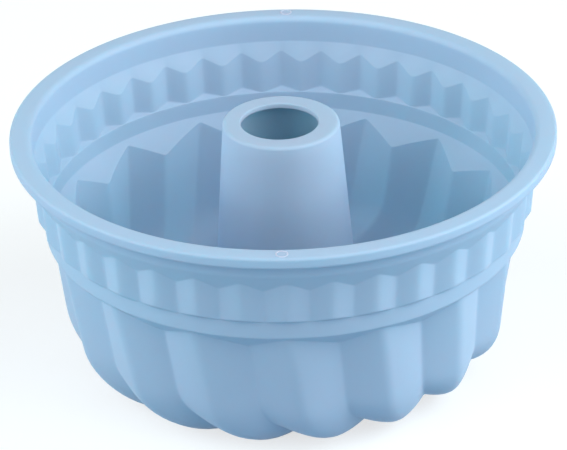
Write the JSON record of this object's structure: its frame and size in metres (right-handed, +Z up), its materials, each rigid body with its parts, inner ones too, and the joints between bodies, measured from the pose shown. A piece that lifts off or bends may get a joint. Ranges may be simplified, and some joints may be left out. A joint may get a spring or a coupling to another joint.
{
  "type": "silicone fluted tube pan",
  "caption": "Round one-piece silicone ring mould with a hollow centre tube, swirled flutes, a collar of small flutes and a wire-stiffened rim.",
  "frame": {"origin": "centre of the base, on the surface that the pan rests on", "axes": "+Z up along the centre tube's axis; -Y is the side that faces the picture's camera"},
  "size_m": [0.24, 0.24, 0.1175],
  "materials": {
    "silicone": "satin",
    "steel": "drawn wire"
  },
  "bodies": {
    "root": {"silicone_pan": "silicone", "rim_hoop": "steel"}
  },
  "joints": []
}
